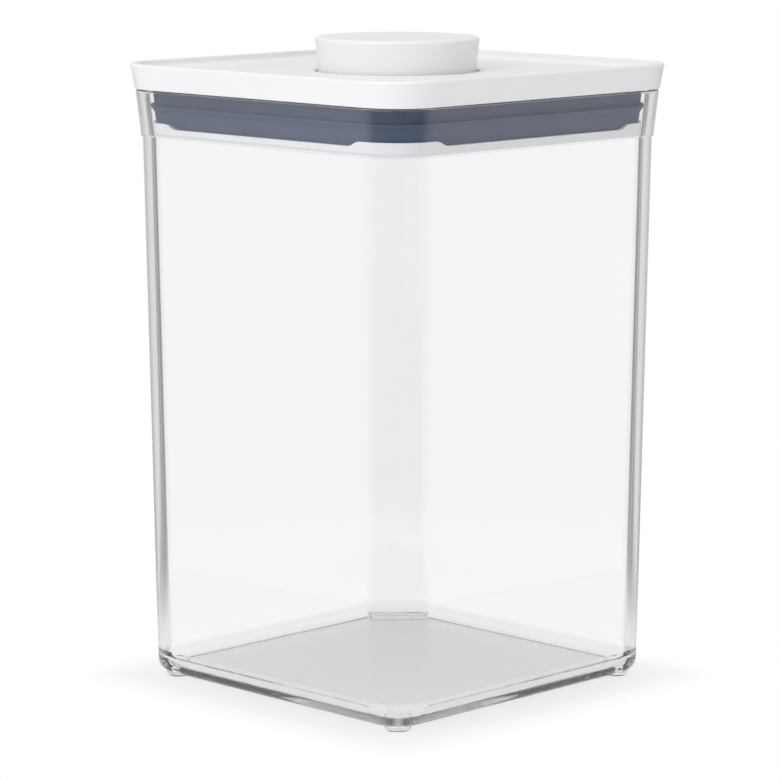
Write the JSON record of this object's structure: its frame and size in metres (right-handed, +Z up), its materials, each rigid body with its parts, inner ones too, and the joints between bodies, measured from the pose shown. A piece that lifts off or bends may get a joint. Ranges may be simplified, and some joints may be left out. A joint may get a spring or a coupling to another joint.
{
  "type": "storage container",
  "caption": "Square clear pantry container with a white push-button lid: pressing the button drives hidden pushers against a lipped seal; the lid lifts off.",
  "frame": {"origin": "on the table, below the middle of the container", "axes": "+Z up through the button; the four sides face along X and Y; the picture looks at the +X -Y corner"},
  "size_m": [0.16, 0.16, 0.256],
  "materials": {
    "clear_plastic": "clear gloss",
    "white_plastic": "satin",
    "seal_silicone": "matt",
    "acetal": "matt",
    "spring_steel": "bright"
  },
  "bodies": {
    "container": {"container_body": "clear_plastic"},
    "lid": {"lid_cover": "white_plastic", "lid_base": "white_plastic", "gasket": "seal_silicone", "guide_sleeve": "acetal", "return_spring": "spring_steel"},
    "button": {"button_cap": "white_plastic", "plunger": "acetal", "ring_clip": "spring_steel"},
    "index_ring": {"index_ring": "acetal"},
    "pusher_right": {"pusher_right": "acetal"},
    "pusher_back": {"pusher_back": "acetal"},
    "pusher_left": {"pusher_left": "acetal"},
    "pusher_front": {"pusher_front": "acetal"}
  },
  "joints": [
    {"name": "lid_lift", "type": "slide", "parent": "container", "child": "lid", "axis": [0, 0, 1], "range_m": [0, 0.12]},
    {"name": "button_press", "type": "slide", "parent": "lid", "child": "button", "axis": [0, 0, -1], "range_m": [0, 0.009], "stiffness_N_per_m": 600, "springref_m": -0.004, "deforming": ["return_spring"]},
    {"name": "ring_turn", "type": "hinge", "parent": "button", "child": "index_ring", "pos_m": [0, 0, 0.233], "axis": [0, 0, 1], "range_deg": [0, 60.1]},
    {"name": "pusher_right_slide", "type": "slide", "parent": "lid", "child": "pusher_right", "axis": [1, 0, 0], "range_m": [0, 0.00151]},
    {"name": "pusher_back_slide", "type": "slide", "parent": "lid", "child": "pusher_back", "axis": [0, 1, 0], "range_m": [0, 0.00151]},
    {"name": "pusher_left_slide", "type": "slide", "parent": "lid", "child": "pusher_left", "axis": [-1, 0, 0], "range_m": [0, 0.00151]},
    {"name": "pusher_front_slide", "type": "slide", "parent": "lid", "child": "pusher_front", "axis": [0, -1, 0], "range_m": [0, 0.00151]}
  ],
  "couplings": [
    {"joint": "ring_turn", "follows": "button_press", "rad_per_m": 116.36},
    {"joint": "pusher_right_slide", "follows": "button_press", "ratio": 0.16667},
    {"joint": "pusher_back_slide", "follows": "button_press", "ratio": 0.16667},
    {"joint": "pusher_left_slide", "follows": "button_press", "ratio": 0.16667},
    {"joint": "pusher_front_slide", "follows": "button_press", "ratio": 0.16667}
  ]
}
